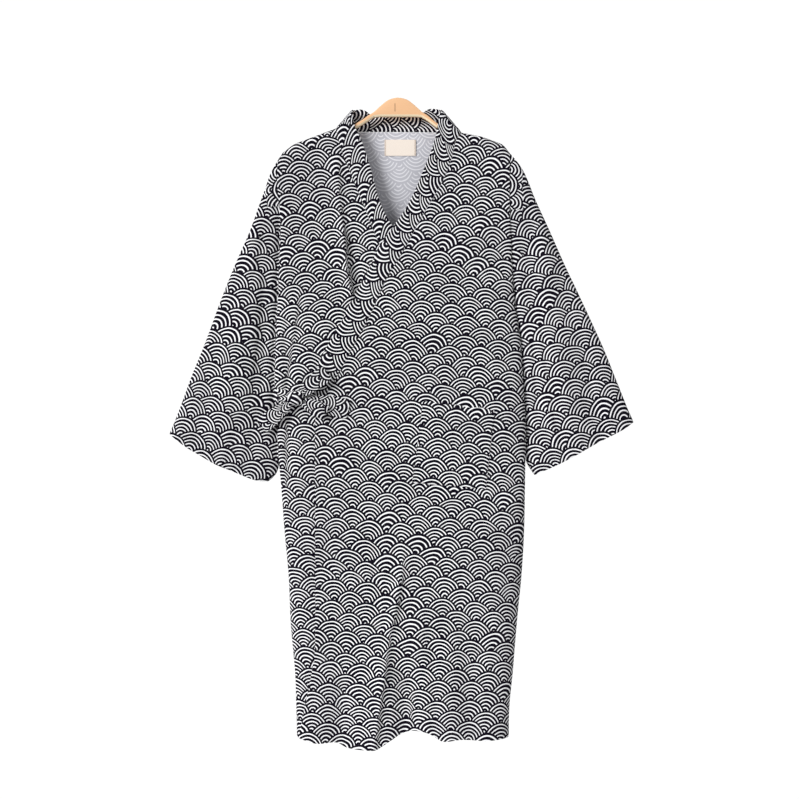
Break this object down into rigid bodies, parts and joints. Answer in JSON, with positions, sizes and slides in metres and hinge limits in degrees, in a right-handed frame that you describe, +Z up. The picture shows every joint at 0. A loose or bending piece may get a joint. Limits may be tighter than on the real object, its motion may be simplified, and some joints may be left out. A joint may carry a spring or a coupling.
{
  "type": "kimono robe on a wooden clothes hanger",
  "caption": "Short wrapped kimono robe with wide sleeves, collar band, patch pocket and side bow, hung flat on a wooden hanger.",
  "frame": {"origin": "the top of the hanger's crown, in the mouth of the screw hole for its hook", "axes": "+Z up; +X to the wearer's left; the robe's front faces -Y"},
  "size_m": [0.8584, 0.0775, 1.2003],
  "materials": {
    "robe_cotton": "matt printed cotton, off-white wave arcs on near-black",
    "label_cotton": "matt cream woven tape, bare",
    "hanger_wood": "satin lacquer over pale wood"
  },
  "bodies": {
    "root": {"hanger": "hanger_wood", "back": "robe_cotton", "front_left": "robe_cotton", "front_right": "robe_cotton", "sleeve_left": "robe_cotton", "sleeve_right": "robe_cotton", "collar": "robe_cotton", "pocket": "robe_cotton", "label": "label_cotton", "bow_knot": "robe_cotton", "bow_loop_upper": "robe_cotton", "bow_loop_lower": "robe_cotton", "bow_tail_left": "robe_cotton", "bow_tail_right": "robe_cotton", "belt_to_front_edge": "robe_cotton", "belt_to_side_seam": "robe_cotton"}
  },
  "joints": []
}
